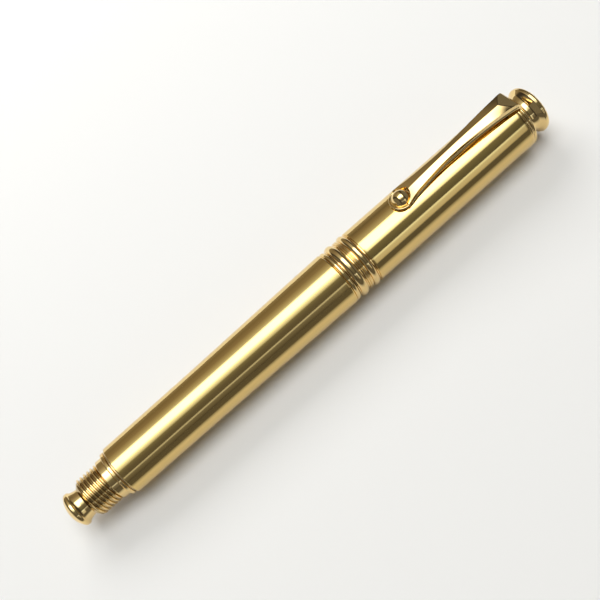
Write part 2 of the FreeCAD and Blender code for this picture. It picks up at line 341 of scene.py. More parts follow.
RECIPES: tuple[Recipe, ...] = (
    Recipe(Finish.SLEEVE, (0.84, 0.61, 0.24), (0.81, 0.575, 0.215), clean=0.075, haze=0.05,
           marks=0.0012, along=0.85),
    # the plated finish carries the painted shade in the posting thread's grooves
    Recipe(Finish.PLATED, (0.91, 0.68, 0.32), (0.88, 0.64, 0.28), clean=0.05, haze=0.04,
           marks=0.0004, along=0.2, groove_shade_amount=0.5),
    Recipe(Finish.BRASS, (0.70, 0.52, 0.26), (0.58, 0.41, 0.20), clean=0.26, haze=0.16,
           marks=0.004, along=0.1),
    Recipe(Finish.NIB, (0.92, 0.70, 0.36), (0.89, 0.66, 0.31), clean=0.08, haze=0.05,
           marks=0.0008, along=0.9),
    Recipe(Finish.GLOSS, (0.012, 0.012, 0.014), (0.016, 0.015, 0.017), metallic=0.0, clean=0.10,
           haze=0.10, marks=0.0008, along=0.3, coat=0.4, settings={"Coat Roughness": 0.05}),
    Recipe(Finish.FEED, (0.018, 0.018, 0.020), (0.028, 0.027, 0.028), metallic=0.0, clean=0.38,
           haze=0.18, marks=0.003, along=0.5),
    Recipe(Finish.TANK, (0.93, 0.96, 0.97), (0.90, 0.94, 0.96), metallic=0.0, clean=0.04, haze=0.05,
           marks=0.0006, along=0.9, settings={"Transmission Weight": 1.0, "IOR": 1.49}),
    Recipe(Finish.WHITE, (0.78, 0.77, 0.73), (0.70, 0.69, 0.64), metallic=0.0, clean=0.30, haze=0.12,
           marks=0.003, along=0.2),
    Recipe(Finish.RUBBER, (0.02, 0.02, 0.021), (0.035, 0.034, 0.033), metallic=0.0, clean=0.55,
           haze=0.2, marks=0.006, along=0.2),
)


# --------------------------------------------------------------------------------------------
# surfaces
# --------------------------------------------------------------------------------------------


def arc_through(a: np.ndarray, b: np.ndarray, c: np.ndarray, steps: int = 14) -> np.ndarray:
    """Points on the circle through a, b and c, from a to c by way of b.

    The centre is where the bisectors of ab and bc cross; the angle then runs evenly.

    Args:
        a: where the arc starts.
        b: a point that it passes.
        c: where it ends.
        steps: number of points, counting a.

    Returns:
        The points after a.
    """
    ab, bc = b - a, c - b
    matrix = np.array([ab, bc])
    if abs(np.linalg.det(matrix)) < 1e-9:
        return np.linspace(a, c, steps)[1:]
    centre = np.linalg.solve(matrix, [ab @ (a + b) / 2, bc @ (b + c) / 2])
    angle = [math.atan2(*(p - centre)[::-1]) for p in (a, b, c)]
    turn = np.unwrap(angle)
    sweep = np.linspace(turn[0], turn[2], steps)[1:]
    radius = np.linalg.norm(a - centre)
    return centre + radius * np.stack([np.cos(sweep), np.sin(sweep)], 1)


def profile(rows: list[Row], round_off: float = 0.05) -> np.ndarray:
    """A closed station and radius outline with its straight corners rounded off.

    Args:
        rows: steps of (station, radius), or (middle station, middle radius, station, radius) for an arc.
        round_off: size of the rounding at each plain corner, in mm.

    Returns:
        The outline's points, in mm.
    """
    points = [np.array(rows[0][:2], float)]
    corner = [True]
    for row in rows[1:]:
        end = np.array(row[-2:], float)
        if len(row) == 4:
            curve = arc_through(points[-1], np.array(row[:2], float), end)
            points += list(curve)
            corner += [False] * (len(curve) - 1) + [True]
        else:
            points.append(end)
            corner.append(True)
    ring = np.array(points)
    before, after = np.roll(ring, 1, 0) - ring, np.roll(ring, -1, 0) - ring
    reach_a, reach_b = np.linalg.norm(before, axis=1), np.linalg.norm(after, axis=1)
    out: list[np.ndarray] = []
    for k, p in enumerate(ring):
        cut = min(round_off, 0.4 * reach_a[k], 0.4 * reach_b[k])
        bend = before[k] @ after[k] / max(reach_a[k] * reach_b[k], 1e-12)
        if not corner[k] or cut < 1e-4 or bend < -0.97 or p[1] < 1e-6:
            out.append(p[None])
            continue
        start, end = p + before[k] / reach_a[k] * cut, p + after[k] / reach_b[k] * cut
        t = np.linspace(0, 1, 6)[:, None]
        out.append((1 - t) ** 2 * start + 2 * t * (1 - t) * p + t**2 * end)
    return np.concatenate(out)


def on_axis(t: np.ndarray, r: np.ndarray, turn: np.ndarray) -> np.ndarray:
    """Points about the pen's axis: y is r sin(turn), and z is the axis height less r cos(turn).

    Args:
        t: station, in mm.
        r: radius, in mm.
        turn: angle from straight down, right-handed about X.

    Returns:
        The points, in metres.
    """
    x = np.broadcast_to(t, np.broadcast_shapes(np.shape(t), np.shape(r), np.shape(turn))) - HALF_LENGTH
    y = r * np.sin(turn) + 0 * x
    z = AXIS_HEIGHT - r * np.cos(turn) + 0 * x
    return np.stack([x, y, z], -1) * MM


def drawn_in(t: np.ndarray, r: np.ndarray, turn: np.ndarray) -> np.ndarray:
    """A turned skin whose two ends are drawn in to the axis, each to a small flat.

    Args:
        t: stations, in mm, as a column.
        r: radii, in mm, stations by angles.
        turn: angles, as a row.

    Returns:
        The points, in metres.
    """
    pole = np.full((1, turn.size), POLE_RADIUS)
    return on_axis(np.concatenate([t[:1], t, t[-1:]]), np.concatenate([pole, r, pole]), turn)


def smooth_step(x: np.ndarray) -> np.ndarray:
    """Three x squared less two x cubed, which eases from 0 to 1."""
    return x * x * (3 - 2 * x)


def grid_faces(rows: int, columns: int, wrap_rows: bool, wrap_columns: bool) -> np.ndarray:
    """Quads joining a grid of points that are numbered row by row.

    Args:
        rows: number of rows.
        columns: number of columns.
        wrap_rows: the last row joins the first.
        wrap_columns: the last column joins the first.

    Returns:
        Four point numbers for each quad.
    """
    i = np.arange(rows if wrap_rows else rows - 1)[:, None]
    j = np.arange(columns if wrap_columns else columns - 1)[None]
    a, b = i * columns + j, i * columns + (j + 1) % columns
    c, d = ((i + 1) % rows) * columns + (j + 1) % columns, ((i + 1) % rows) * columns + j
    return np.stack([a, b, c, d], -1).reshape(-1, 4)


@dataclass
class Piece:
    """A mesh being made: points and quads, added shell by shell."""

    name: str
    points: list[np.ndarray] = field(default_factory=list)
    quads: list[np.ndarray] = field(default_factory=list)
    caps: list[list[int]] = field(default_factory=list)
    count: int = 0

    def grid(self, points: np.ndarray, wrap_rows: bool = False, wrap_columns: bool = False,
             keep: np.ndarray | None = None, ends: bool = False) -> None:
        """Adds a grid of points as a surface.

        Args:
            points: an array of rows by columns by 3, in metres.
            wrap_rows: the last row joins the first.
            wrap_columns: the last column joins the first.
            keep: which of the quads to keep, or None for all.
            ends: close the first and last row with a face each.
        """
        rows, columns = points.shape[:2]
        faces = grid_faces(rows, columns, wrap_rows, wrap_columns)
        if keep is not None:
            faces = faces[keep.ravel()]
        self.points.append(points.reshape(-1, 3))
        self.quads.append(faces + self.count)
        if ends:
            first = np.arange(columns) + self.count
            self.caps += [first[::-1].tolist(), (first + (rows - 1) * columns).tolist()]
        self.count += rows * columns

    def finish(self, body: str, finish: Finish, replaces: tuple[str, ...],
               sharp: float = 32.0) -> bpy.types.Object:
        """Makes the object, joins doubled points, turns its faces outwards and dresses it.

        Args:
            body: the CAD body that it rides on.
            finish: its material slot.
            replaces: the CAD nodes that it stands for.
            sharp: edges that bend more than this many degrees stay crisp.

        Returns:
            The new object.
        """
        mesh = bpy.data.meshes.new(self.name)
        faces = np.concatenate(self.quads).tolist() + self.caps
        mesh.from_pydata(np.concatenate(self.points), [], faces)
        mesh.update()
        weld(mesh)
        mesh.shade_smooth()
        mesh.set_sharp_from_angle(angle=math.radians(sharp))
        made = bpy.data.objects.new(self.name, mesh)
        bpy.context.scene.collection.objects.link(made)
        made.data.materials.append(MATERIALS[finish])
        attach(made, body)
        if replaces:
            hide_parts(*replaces)
        LOG.info("%s: %d faces, on %s", self.name, len(mesh.polygons), body)
        return made


def weld(mesh: bpy.types.Mesh) -> None:
    """Joins points closer than a tenth of a micron and makes the faces look outwards.

    Args:
        mesh: the mesh to change.
    """
    work = bmesh.new()
    work.from_mesh(mesh)
    bmesh.ops.remove_doubles(work, verts=work.verts, dist=1e-7)
    bmesh.ops.dissolve_degenerate(work, edges=work.edges, dist=1e-8)
    bmesh.ops.recalc_face_normals(work, faces=work.faces)
    work.to_mesh(mesh)
    work.free()


def turned(name: str, rows: list[Row], body: str, finish: Finish, replaces: tuple[str, ...] = (),
           round_off: float = 0.05, sides: int = 160, sharp: float = 32.0) -> bpy.types.Object:
    """A piece turned about the pen's axis: each outline point sweeps a full circle.

    Args:
        name: the piece's name.
        rows: the outline, as profile() takes it.
        body: the CAD body it rides on.
        finish: its material slot.
        replaces: the CAD nodes it stands for.
        round_off: corner rounding in mm.
        sides: steps round the axis.
        sharp: crease angle in degrees.

    Returns:
        The new object.
    """
    ring = profile(rows, round_off)
    turn = np.linspace(0, 2 * np.pi, sides, endpoint=False)
    piece = Piece(name)
    piece.grid(on_axis(ring[:, 0][:, None], ring[:, 1][:, None], turn[None]), True, True)
    return piece.finish(body, finish, replaces, sharp)


MATERIALS: dict[Finish, bpy.types.Material] = {}


# --------------------------------------------------------------------------------------------
# sub-assemblies
# --------------------------------------------------------------------------------------------


@dataclass
class Thread:
    """A multi-start thread on a turned core.

    Attributes:
        start: station where the ridges begin, mm.
        end: station where they end, mm.
        root: radius between the ridges, mm.
        crest: radius of the ridges, mm.
        lead: advance per turn, mm.
        starts: number of ridges side by side.
        phase: station where a ridge stands straight below the axis, mm.
        half_base: half the width of a ridge's foot, in ridge spacings.
        flank: width of each flank, in ridge spacings.
        fade_in: length over which the ridges grow, mm.
        fade_out: length over which they die away, mm.
    """

    start: float
    end: float
    root: float
    crest: float
    lead: float = 2.70
    starts: int = 3
    phase: float = 0.0
    half_base: float = 0.37
    flank: float = 0.26
    fade_in: float = 0.5
    fade_out: float = 0.35

    def radius(self, t: np.ndarray, turn: np.ndarray) -> np.ndarray:
        """Radius at a station and angle.

        A ridge is a smooth step of the distance to the nearest helix, with a narrow flat crest and
        steep flanks; another smooth step fades it in and out at the ends.

        Args:
            t: station, in mm.
            turn: angle from straight down.

        Returns:
            The radius, in mm.
        """
        place = (t - self.phase) / (self.lead / self.starts) - self.starts * turn / (2 * np.pi)
        near = np.clip((self.half_base - np.abs(place - np.round(place))) / self.flank, 0, 1)
        fade = (np.clip((t - self.start) / self.fade_in, 0, 1)
                * np.clip((self.end - t) / self.fade_out, 0, 1))
        return self.root + (self.crest - self.root) * smooth_step(near) * smooth_step(fade)

    def sleeve(self, t: np.ndarray, bore: float, cone: np.ndarray | float = np.inf) -> np.ndarray:
        """A threaded sleeve: outside it is the lesser of the thread and a cone, and its bore is plain.

        Args:
            t: stations, in mm, as a column.
            bore: the bore's radius, in mm.
            cone: radius of the cone that trims the thread, in mm.

        Returns:
            A grid of points, in metres, that closes both ways.
        """
        turn = np.linspace(0, 2 * np.pi, THREAD_SIDES, endpoint=False)[None]
        outside = on_axis(t, np.minimum(self.radius(t, turn), cone), turn)
        inside = on_axis(t[[-1, 0]], np.full((2, 1), bore), turn)
        return np.concatenate([outside, inside])


@dataclass
class TailEnd:
    """The domed knob, three-start posting thread and stepped flange at the pen's tail."""

    body: str = "barrel"
    knob: list[Row] = field(default_factory=lambda: [
        (0.0, 0.0), (0.0, 0.6), (0.27, 2.45, 1.05, 3.78), (1.35, 4.05, 1.75, 4.12),
        (2.15, 4.02, 2.35, 3.80), (3.3, 3.45, 4.45, 3.32), (4.45, 0.0)])
    flange: list[Row] = field(default_factory=lambda: [
        (10.72, 1.5), (10.72, 4.82), (10.86, 4.96), (12.38, 4.96), (12.46, 4.88), (12.46, 4.70),
        (12.56, 4.70), (12.56, 5.45), (12.66, 5.55), (13.22, 5.55), (13.32, 5.45), (13.32, 4.90),
        (18.0, 4.90), (18.0, 4.30), (15.4, 4.30), (15.4, 1.5)])
    thread: Thread = field(default_factory=lambda: Thread(4.9, 10.6, 4.30, 4.72, phase=1.9))
    sleeve_start: float = 4.5
    sleeve_end: float = 10.67
    bore: float = 1.5
    nose: float = 3.75
    nose_slope: float = 0.98

    def build(self) -> None:
        """Makes the knob, the thread and the flange."""
        turned("tail_end_knob", self.knob, self.body, Finish.PLATED, ("tail_knob",), sharp=50)
        turned("tail_step_flange", self.flange, self.body, Finish.PLATED, ("tail_flange",), 0.06)
        self.posting_thread()

    def posting_thread(self) -> None:
        """The threaded sleeve; a cone trims its tail end, widening by nose_slope for each mm of X."""
        t = np.linspace(self.sleeve_start, self.sleeve_end, 150)[:, None]
        cone = self.nose + (t - self.sleeve_start) * self.nose_slope
        piece = Piece("tail_posting_thread")
        piece.grid(self.thread.sleeve(t, self.bore, cone), True, True)
        piece.finish(self.body, Finish.PLATED, ("posting_thread",), 60)


@dataclass
class Barrel:
    """The tapered outer sleeve and the joint's trim ring."""

    body: str = "barrel"
    start: float = 13.8
    end: float = 76.25
    bore: float = 5.20
    ring_end: float = 77.3
    ring_bore: float = 4.9
    taper: tuple[tuple[float, float], ...] = ((14.0, 5.97), (39.98, 6.17), (66.1, 6.58), (75.75, 6.70))

    def build(self) -> None:
        """Makes the sleeve and the trim ring.

        The sleeve's radius runs straight from one station of the taper to the next; the many steps in
        between keep its faces short, so that it shades evenly.
        """
        rows: list[Row] = [
            (self.start, self.bore), (self.start, 5.77),
            (self.start + 0.06, 5.91, self.start + 0.2, 5.97)]
        t = np.linspace(20, 74, 28)
        rows += list(zip(t.tolist(), np.interp(t, *zip(*self.taper)).tolist()))
        rows += [(self.end - 0.5, 6.70), (self.end - 0.12, 6.56, self.end, 6.20), (self.end, self.bore)]
        turned("barrel_outer_sleeve", rows, self.body, Finish.SLEEVE, ("barrel_sleeve",), 0.03, 256)
        middle = (self.end + self.ring_end) / 2
        ring = [(self.end, self.ring_bore), (self.ring_end, self.ring_bore), (self.ring_end, 6.35),
                (middle, 6.62, self.end, 6.35)]
        turned("barrel_trim_ring", ring, self.body, Finish.PLATED, ("barrel_front_ring",), 0.05, 192)


@dataclass
class WritingUnit:
    """The threaded collar, grip, trim ring, nib and feed.

    Attributes:
        body: the CAD body that the pieces ride on.
        thread: the thread that holds the cap.
        collar: first and last station of the collar, mm.
        bore: radius inside the collar, the grip and the ring.
        nib_outline: station and half width of the nib, from its heel to its tip.
        nib_bend: station where the nib starts to narrow towards its tip.
        nib_tip: station where it would end.
        sheet: thickness of the nib.
        vent_at: station of the vent hole's middle.
        vent_radius: radius of the vent hole.
        slit_half: half the width of the slit.
        feed_radius: the feed's greatest radius.
        feed_gap: clearance between the feed and the nib.
        fins: stations between which the comb lies.
        fin_pitch: distance from one fin to the next.
        fin_space: width of the space between two fins.
        fin_depth: depth of that space.
    """

    body: str = "section"
    thread: Thread = field(default_factory=lambda: Thread(77.9, 82.8, 4.36, 4.72, phase=75.5))
    collar: tuple[float, float] = (77.45, 83.0)
    bore: float = 3.6
    nib_outline: tuple[tuple[float, float], ...] = (
        (84.2, 2.6), (98.4, 2.75), (101.5, 3.02), (103.0, 3.02), (104.5, 2.86), (107.0, 2.2),
        (111.0, 1.35), (115.0, 0.72), (117.9, 0.34))
    nib_bend: float = 101.0
    nib_tip: float = 118.0
    sheet: float = 0.25
    vent_at: float = 106.0
    vent_radius: float = 0.5
    slit_half: float = 0.05
    feed_radius: float = 2.88
    feed_gap: float = 0.05
    fins: tuple[float, float] = (99.55, 108.1)
    fin_pitch: float = 1.0
    fin_space: float = 0.45
    fin_depth: float = 0.65

    def build(self) -> None:
        """Makes every piece that turns with the section."""
        self.threaded_collar()
        grip: list[Row] = [
            (83.0, self.bore), (83.0, 4.60), (83.8, 4.60), (90.5, 4.20, 94.6, 4.10),
            (96.3, 4.18, 97.4, 4.42), (97.4, self.bore)]
        turned("section_grip_cone", grip, self.body, Finish.GLOSS, ("section_grip",), 0.12, 192, 45)
        ring: list[Row] = [
            (97.4, self.bore), (98.5, self.bore), (98.5, 4.22), (97.95, 4.48, 97.4, 4.22)]
        turned("section_end_ring", ring, self.body, Finish.PLATED, ("section_ring",), 0.05, 192)
        self.nib()
        self.feed()

    def threaded_collar(self) -> None:
        """The collar whose three-start thread holds the cap."""
        t = np.linspace(*self.collar, 130)[:, None]
        piece = Piece("section_threaded_collar")
        piece.grid(self.thread.sleeve(t, self.bore), True, True)
        piece.finish(self.body, Finish.PLATED, ("section_collar",), 60)

    def nib_radius(self, t: np.ndarray) -> np.ndarray:
        """Outside radius of the nib's sheet: plain to the bend, then a power curve to the tip."""
        run = np.clip((t - self.nib_bend) / (self.nib_tip - self.nib_bend), 0, 1)
        return 3.18 - 2.08 * run**1.25

    def nib(self) -> None:
        """Two mirrored tines of curved sheet, joined behind the vent hole, with a ball at the tip.

        Each tine is a grid: along the nib, and from its inner edge (seam, vent hole or slit) to its
        outline. The hole's edge is the root of its radius squared less the distance squared.
        """
        heel, point = self.nib_outline[0][0], self.nib_outline[-1][0]
        t = np.unique(np.concatenate([
            np.linspace(heel, 105.4, 40), np.linspace(105.4, 106.6, 40), np.linspace(106.6, point, 60)]))
        outline = np.interp(t, *zip(*self.nib_outline))
        hole = np.sqrt(np.clip(self.vent_radius**2 - (t - self.vent_at) ** 2, 0, None))
        inner = np.where(t > self.vent_at, np.maximum(hole, self.slit_half), hole)
        radius = self.nib_radius(t)
        across = np.linspace(0, 1, 22)
        piece = Piece("nib_two_tines")
        for side in (-1.0, 1.0):
            y = inner[:, None] + (outline - inner)[:, None] * across[None]
            top = self.nib_skin(t, y * side, radius)
            under = self.nib_skin(t, y * side, radius - self.sheet)
            loop = np.concatenate([top, under[:, ::-1]], 1)
            open_edge = np.ones((len(t) - 1, loop.shape[1]), bool)
            open_edge[:, -1] = (inner[:-1] > 1e-6) | (inner[1:] > 1e-6)
            piece.grid(loop, False, True, open_edge, ends=True)
        self.ball(piece, np.array([117.7, 0.0, 0.98]), 0.38)
        piece.finish(self.body, Finish.NIB, ("nib",), 40)

    @staticmethod
    def nib_skin(t: np.ndarray, y: np.ndarray, radius: np.ndarray) -> np.ndarray:
        """The nib's skin: its height is the root of the radius squared less the side distance squared.

        Args:
            t: stations along the nib, in mm.
            y: side distances, stations by steps across, in mm.
            radius: the skin's radius at each station, in mm.

        Returns:
            The points, in metres.
        """
        z = np.sqrt(np.clip(radius[:, None] ** 2 - y**2, 0.0025, None))
        x = np.broadcast_to(t[:, None] - HALF_LENGTH, y.shape)
        return np.stack([x, y, AXIS_HEIGHT + z], -1) * MM

    @staticmethod
    def ball(piece: Piece, centre: np.ndarray, radius: float) -> None:
        """Adds a small ball, by latitude and longitude.

        Args:
            piece: the piece that it joins.
            centre: its station, side distance and height above the axis, in mm.
            radius: its radius, in mm.
        """
        lat = np.linspace(-np.pi / 2, np.pi / 2, 17)[:, None]
        lon = np.linspace(0, 2 * np.pi, 32, endpoint=False)[None]
        x = centre[0] - HALF_LENGTH + radius * np.cos(lat) * np.cos(lon)
        y = centre[1] + radius * np.cos(lat) * np.sin(lon)
        z = AXIS_HEIGHT + centre[2] + radius * np.sin(lat) + 0 * lon
        piece.grid(np.stack([x, y, z], -1) * MM, False, True)

    def feed(self) -> None:
        """The moulded feed: a cone under the nib whose lower half is cut into thin fins.

        Its radius is the nib's inside less a clearance; below the axis it drops by the fins' depth
        wherever the station falls in a space of the comb.
        """
        t = np.unique(np.concatenate([
            np.linspace(84.2, 99.2, 20), np.linspace(99.2, 108.6, 380), np.linspace(108.6, 113.8, 30)]))
        turn = np.linspace(0, 2 * np.pi, 96, endpoint=False)
        skin = np.minimum(self.nib_radius(t) - self.sheet - self.feed_gap, self.feed_radius)
        in_space = (t - 99.6) % self.fin_pitch < self.fin_space
        space = (in_space & (t > self.fins[0]) & (t < self.fins[1])).astype(float)
        below = (np.cos(turn) > 0.05).astype(float)
        r = skin[:, None] - self.fin_depth * space[:, None] * below[None]
        piece = Piece("feed_finned")
        piece.grid(drawn_in(t[:, None], r, turn[None]), False, True, ends=True)
        piece.finish(self.body, Finish.FEED, ("feed",), 30)


@dataclass
class Converter:
    """The push-on ink converter: clear tank, collar, fluted knob, screw rod and seal."""

    body: str = "converter"
    flutes: int = 16
    flute_depth: float = 0.26
    flute_ends: tuple[float, float] = (23.8, 40.2)
    flute_run_out: float = 0.4

    def build(self) -> None:
        """Makes the tank and collar, and the pieces that turn or slide in them."""
        tank: list[Row] = [
            (46.0, 2.95), (46.0, 3.45), (76.0, 3.45), (77.2, 2.75), (79.9, 2.70), (79.9, 1.75),
            (75.1, 1.75), (75.1, 2.95)]
        turned("converter_clear_tank", tank, self.body, Finish.TANK, ("converter_tank",), 0.12, 128)
        collar: list[Row] = [
            (44.2, 1.50), (44.2, 3.82), (50.9, 3.82), (51.0, 3.66, 51.1, 3.82), (52.0, 3.82),
            (52.0, 3.45), (46.0, 3.45), (46.0, 1.50)]
        turned("converter_plated_collar", collar, self.body, Finish.PLATED, ("converter_collar",), 0.12,
               128)
        self.knob()
        self.rod()
        seal: list[Row] = [
            (54.0, 0.0), (54.0, 2.6), (54.3, 2.85), (55.3, 2.85), (55.6, 2.7), (56.6, 2.7),
            (56.9, 2.85), (57.9, 2.85), (58.2, 2.6), (58.2, 0.0)]
        turned("piston_ribbed_seal", seal, "piston", Finish.RUBBER, ("piston_seal",), 0.1, 96)

    def knob(self) -> None:
        """The black turning knob: rounded flutes between plain ends, with a bore inside.

        A flute is the cosine of sixteen times the angle, where it is positive, to the power 1.5, times
        a ramp up and down at its ends.
        """
        turn = np.linspace(0, 2 * np.pi, 256, endpoint=False)[None]
        t = np.concatenate([[21.0], np.linspace(21.05, 21.4, 6), np.linspace(21.6, 43.6, 120),
                            np.linspace(43.7, 44.0, 5)])[:, None]
        skin = np.interp(t, [21.0, 21.12, 21.4, 43.6, 44.0], [3.1, 3.3, 3.55, 3.55, 3.2])
        first, last = self.flute_ends
        run = (np.clip((t - first) / self.flute_run_out, 0, 1)
               * np.clip((last - t) / self.flute_run_out, 0, 1))
        flute = np.clip(np.cos(self.flutes * turn), 0, 1) ** 1.5
        outside = on_axis(t, skin - self.flute_depth * run * flute, turn)
        shut = on_axis(t[:1], np.array([[POLE_RADIUS]]), turn)
        bore = np.array([[44.0, 1.6], [22.2, 1.6], [22.2, POLE_RADIUS]])
        inside = on_axis(bore[:, :1], bore[:, 1:], turn)
        piece = Piece("converter_fluted_knob")
        piece.grid(np.concatenate([shut, outside, inside]), False, True, ends=True)
        piece.finish("converter_knob", Finish.GLOSS, ("converter_knob",), 35)

    def rod(self) -> None:
        """The screw rod: a cylinder with a shallow two-start helix of 3.2 mm lead."""
        screw = Thread(22.8, 53.8, 1.0, 1.2, 3.2, 2)
        turn = np.linspace(0, 2 * np.pi, 48, endpoint=False)[None]
        t = np.linspace(22.6, 54.0, 520)[:, None]
        piece = Piece("piston_screw_rod")
        piece.grid(drawn_in(t, screw.radius(t, turn), turn), False, True, ends=True)
        piece.finish("piston", Finish.WHITE, ("piston_rod",), 50)


@dataclass
class Cap:
    """The cap's sleeve, two-torus centre band, top rings and trumpet-shaped finial."""

    body: str = "cap"
    mouth: float = 77.45
    start: float = 83.35
    end: float = 129.72
    radius: float = 6.70
    bore: float = 6.0
    ring_end: float = 130.42
    stud: float = 1.55

    def build(self) -> None:
        """Makes every shown piece that turns with the cap."""
        band: list[Row] = [
            (self.mouth, 5.90), (self.mouth, 6.22), (77.66, 6.22), (77.76, 6.42),
            (78.75, 6.88, 79.74, 6.42), (79.84, 6.20), (80.08, 6.20), (80.14, 6.42),
            (80.32, 6.56, 80.50, 6.42), (80.56, 6.36), (80.62, 6.42), (80.80, 6.56, 80.98, 6.42),
            (81.04, 6.20), (81.26, 6.20), (81.34, 6.42), (82.20, 6.88, 82.96, 6.46), (83.04, 6.30),
            (self.start, 6.30), (self.start, 5.90)]
        turned("cap_centre_band", band, self.body, Finish.PLATED, ("centre_band",), 0.03, 224, 50)
        sleeve: list[Row] = [(self.start, self.bore), (self.start, self.radius)]
        sleeve += [(t, self.radius) for t in np.linspace(84, 129, 24).tolist()]
        sleeve += [(self.end, self.radius), (self.end, self.bore)]
        turned("cap_outer_sleeve", sleeve, self.body, Finish.SLEEVE, ("cap_sleeve",), 0.12, 256)
        ring: list[Row] = [
            (self.end, self.stud), (self.ring_end, self.stud), (self.ring_end, 6.40),
            (130.07, 6.62, self.end, 6.40)]
        turned("cap_top_ring", ring, self.body, Finish.PLATED, ("cap_ring",), 0.05, 224)
        finial: list[Row] = [
            (131.30, self.stud), (131.30, 5.35), (131.42, 5.47, 131.60, 5.35), (131.80, 4.85, 132.25, 4.58),
            (133.15, 4.68, 133.95, 5.22), (134.35, 5.58, 134.62, 5.80), (134.82, 5.90, 135.05, 5.90),
            (135.55, 5.82, 135.95, 5.30), (136.60, 3.70, 136.94, 1.60), (137.0, 0.80), (137.0, 0.0),
            (133.6, 0.0), (133.6, self.stud)]
        turned("cap_finial_trumpet", finial, self.body, Finish.PLATED, ("finial",), 0.05, 224, 40)


@dataclass
class Clip:
    """The folded clip: a long roof with turned-down sides, a domed foot and a hipped top end.

    Attributes:
        body: the CAD body that the pieces ride on.
        dome_at: station of the dome's middle.
        dome_height: height of the ball's middle above the pen's axis.
        dome_radius: radius of the ball.
        seat: how far above the ball's middle the foot cuts it.
        notch: radius of the round end of the arm behind the dome.
        mouth_half: half the arm's width where it starts.
        top: station of the arm's top edge.
        wall: thickness of the sheet.
        lip: how far the lower edges roll outwards.
        ridge_half: half the width of the flat along the ridge.
        hip_start: station where the hip facet leaves the ridge.
        hip_height: height of the facet there.
        hip_fall: how much it falls for each mm along the clip.
        stations: where the next four are given, along the clip.
        width: the arm's width.
        ridge: height of the ridge above the axis.
        shoulder: height of the roof's edges.
        low: height of the lower edges.
    """

    body: str = "clip"
    dome_at: float = 97.1
    dome_height: float = 7.2
    dome_radius: float = 2.15
    seat: float = 0.17
    notch: float = 2.48
    mouth_half: float = 2.72
    top: float = 130.05
    wall: float = 0.45
    lip: float = 0.16
    ridge_half: float = 0.05
    hip_start: float = 126.8
    hip_height: float = 9.86
    hip_fall: float = 0.35
    stations: tuple[float, ...] = (
        97.2, 98.2, 100.1, 102.3, 104.5, 107.3, 110.1, 114.0, 118.0, 121.0, 124.2, 126.5, 128.4, 130.05)
    width: tuple[float, ...] = (
        5.50, 5.10, 4.25, 3.70, 3.30, 2.90, 2.68, 2.84, 3.28, 3.70, 4.22, 4.66, 5.06, 5.56)
    ridge: tuple[float, ...] = (
        8.15, 8.35, 8.66, 8.86, 9.05, 9.28, 9.48, 9.70, 9.84, 9.88, 9.88, 9.86, 9.84, 9.82)
    shoulder: tuple[float, ...] = (
        7.75, 8.00, 8.32, 8.50, 8.68, 8.90, 9.08, 9.30, 9.45, 9.48, 9.42, 9.28, 9.10, 8.92)
    low: tuple[float, ...] = (
        6.82, 6.82, 6.85, 7.05, 7.26, 7.52, 7.76, 7.94, 8.04, 8.04, 8.00, 7.92, 7.84, 7.74)

    def smooth(self, values: tuple[float, ...], t: np.ndarray) -> np.ndarray:
        """A smooth curve through the values at the stations.

        It is cubic between two stations and takes its slope at each from its neighbours.

        Args:
            values: a value for each station.
            t: where the curve is wanted.

        Returns:
            The curve's values.
        """
        x, y = np.array(self.stations), np.array(values)
        slope = np.gradient(y, x)
        k = np.clip(np.searchsorted(x, t, side="right") - 1, 0, len(x) - 2)
        h = x[k + 1] - x[k]
        u = np.clip((t - x[k]) / h, 0, 1)
        a = (1 + 2 * u) * (1 - u) ** 2
        b = u * (1 - u) ** 2
        c = u * u * (3 - 2 * u)
        d = u * u * (u - 1)
        return a * y[k] + b * h * slope[k] + c * y[k + 1] + d * h * slope[k + 1]

    def roof_height(self, t: np.ndarray, y: np.ndarray) -> np.ndarray:
        """Height of the roof above the axis.

        The roof slopes straight from the ridge to the shoulders, and is cut by the hip facet, a plane
        that falls from hip_height at hip_start towards the folded end.

        Args:
            t: station, in mm.
            y: side distance, in mm.

        Returns:
            The height, in mm.
        """
        half = self.smooth(self.width, t) / 2
        ridge, shoulder = self.smooth(self.ridge, t), self.smooth(self.shoulder, t)
        run = np.clip((np.abs(y) - self.ridge_half) / np.maximum(half - self.ridge_half, 1e-3), 0, 1)
        return np.minimum(ridge + (shoulder - ridge) * run,
                          self.hip_height - self.hip_fall * (t - self.hip_start))

    def build(self) -> None:
        """Makes the arm with its foot, and the dome that sits in it."""
        self.arm()
        self.dome()

    def arm(self) -> None:
        """The arm as one closed sheet, with the folded end and the foot.

        One way the grid runs over the outside from one lower lip to the other and back inside; the
        other way it runs from the round notch behind the dome to the top edge.
        """
        along = np.concatenate([np.linspace(0, 0.05, 8)[:-1], np.linspace(0.05, 1, 200)])[:, None]
        roof = np.linspace(-1, 1, 41)
        roof = np.sign(roof) * np.abs(roof) ** 1.15
        across = np.concatenate([np.full(7, -1.0), roof[1:-1], np.full(7, 1.0)])[None]
        drop = np.concatenate([np.linspace(1, 0, 7), np.zeros(39), np.linspace(0, 1, 7)])[None]
        y_start = across * self.mouth_half
        begin = self.dome_at + np.sqrt(np.clip(self.notch**2 - y_start**2, 0, None))
        t = begin + (self.top - begin) * along
        half = self.smooth(self.width, t) / 2
        outer = self.skin(t, across * half, drop, half, 0.0)
        inner = self.skin(t, across * (half - self.wall), drop, half, self.wall)
        piece = Piece("clip_folded_arm")
        loop = np.concatenate([outer, inner[:, ::-1]], 1)
        piece.grid(loop, False, True)
        for row, flip in ((0, False), (-1, True)):
            edge = np.stack([outer[row], inner[row]])
            piece.grid(edge[::-1] if flip else edge)
        self.top_wall(piece)
        self.foot(piece)
        piece.finish(self.body, Finish.PLATED, ("clip",), 34)

